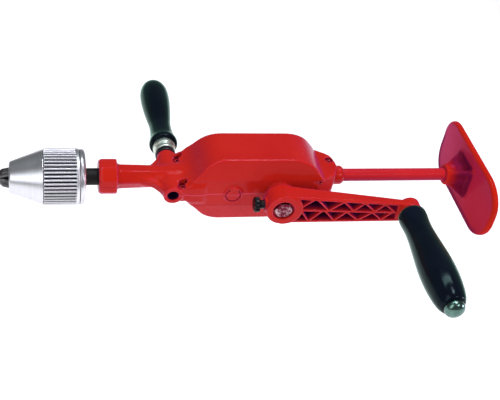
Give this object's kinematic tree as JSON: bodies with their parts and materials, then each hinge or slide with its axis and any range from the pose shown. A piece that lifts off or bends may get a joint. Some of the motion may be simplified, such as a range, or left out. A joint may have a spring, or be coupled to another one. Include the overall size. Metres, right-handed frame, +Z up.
{
  "type": "breast drill",
  "caption": "Hand-cranked breast drill with enclosed gear housing, keyless-style ribbed chuck, side handle, clamped crank and curved breast plate on a tube.",
  "frame": {"origin": "centre of the chuck's nose face, on the spindle axis", "axes": "+X along the spindle from the chuck nose to the breast plate; crank on the -Y side, side handle on the +Y side; +Z up, out of the larger flat of the upper shell"},
  "size_m": [0.3717, 0.2726, 0.0572],
  "materials": {
    "red_paint": "gloss enamel on cast metal",
    "steel": "machined",
    "dark_steel": "oiled black oxide",
    "black_steel": "black oxide, satin",
    "chuck_metal": "fine blasted satin",
    "nickel": "plated, slightly dull",
    "bronze": "sintered, oily",
    "brass": "turned",
    "black_lacquer": "black gloss lacquer",
    "black_plastic": "moulded black"
  },
  "bodies": {
    "housing": {"upper_shell": "red_paint", "lower_shell": "red_paint", "shell_screws": "red_paint", "front_bush": "bronze", "neck_bush": "bronze", "rear_bush": "bronze", "thrust_race_fixed": "steel", "thrust_balls": "steel", "thrust_cage": "brass", "idler_pin": "steel", "crank_bush_near": "bronze", "crank_bush_far": "bronze", "handle_nuts": "dark_steel", "breast_tube": "red_paint", "tube_pin": "steel", "breast_plate": "red_paint", "plate_pin": "steel"},
    "spindle": {"spindle": "black_steel", "thrust_race_turning": "steel", "pinion_washer": "steel", "bevel_pinion": "steel", "pinion_pin": "dark_steel", "chuck_body": "chuck_metal"},
    "sleeve": {"chuck_sleeve": "chuck_metal", "chuck_ring_nut": "steel"},
    "jaw_a": {"jaw_a": "dark_steel"},
    "jaw_b": {"jaw_b": "dark_steel"},
    "jaw_c": {"jaw_c": "dark_steel"},
    "idler": {"bevel_gear": "steel", "spur_pinion": "steel", "idler_washers": "brass"},
    "crank": {"crank_shaft": "steel", "crank_gear": "steel", "crank_gear_pin": "dark_steel", "crank_circlip": "dark_steel", "crank_arm": "red_paint", "crank_axle": "steel", "axle_cap": "nickel"},
    "thumb": {"thumb_knob": "black_plastic", "thumb_stud": "steel"},
    "grip": {"crank_grip": "black_lacquer"},
    "side_handle": {"side_grip": "black_lacquer", "side_ferrule": "nickel", "side_lock_ring": "dark_steel", "side_stud": "steel"}
  },
  "joints": [
    {"name": "crank_spin", "type": "hinge", "parent": "housing", "child": "crank", "pos_m": [0.199, 0, 0], "axis": [0, 1, 0], "continuous": true},
    {"name": "idler_spin", "type": "hinge", "parent": "housing", "child": "idler", "pos_m": [0.1635, 0, 0], "axis": [0, 1, 0], "continuous": true},
    {"name": "spindle_spin", "type": "hinge", "parent": "housing", "child": "spindle", "pos_m": [0, 0, 0], "axis": [1, 0, 0], "continuous": true},
    {"name": "sleeve_turn", "type": "hinge", "parent": "spindle", "child": "sleeve", "pos_m": [0.037, 0, 0], "axis": [1, 0, 0], "range_deg": [-360, 2520]},
    {"name": "jaw_a_slide", "type": "slide", "parent": "spindle", "child": "jaw_a", "axis": [0.9703, 0, 0.2419], "range_m": [-0.00201, 0.01401]},
    {"name": "jaw_b_slide", "type": "slide", "parent": "spindle", "child": "jaw_b", "axis": [0.9703, -0.2095, -0.121], "range_m": [-0.00201, 0.01401]},
    {"name": "jaw_c_slide", "type": "slide", "parent": "spindle", "child": "jaw_c", "axis": [0.9703, 0.2095, -0.121], "range_m": [-0.00201, 0.01401]},
    {"name": "grip_spin", "type": "hinge", "parent": "crank", "child": "grip", "pos_m": [0.2987, -0.1, 0], "axis": [0, 1, 0], "continuous": true},
    {"name": "thumb_turn", "type": "hinge", "parent": "crank", "child": "thumb", "pos_m": [0.18, -0.034, 0], "axis": [1, 0, 0], "range_deg": [-1080, 0]},
    {"name": "side_handle_turn", "type": "hinge", "parent": "housing", "child": "side_handle", "pos_m": [0.118, 0.06, 0], "axis": [0, 1, 0], "range_deg": [0, 2160]}
  ],
  "couplings": [
    {"joint": "idler_spin", "follows": "crank_spin", "ratio": -1.84},
    {"joint": "spindle_spin", "follows": "crank_spin", "ratio": -4.6},
    {"joint": "jaw_a_slide", "follows": "sleeve_turn", "m_per_rad": 0.00031831},
    {"joint": "jaw_b_slide", "follows": "sleeve_turn", "m_per_rad": 0.00031831},
    {"joint": "jaw_c_slide", "follows": "sleeve_turn", "m_per_rad": 0.00031831}
  ]
}
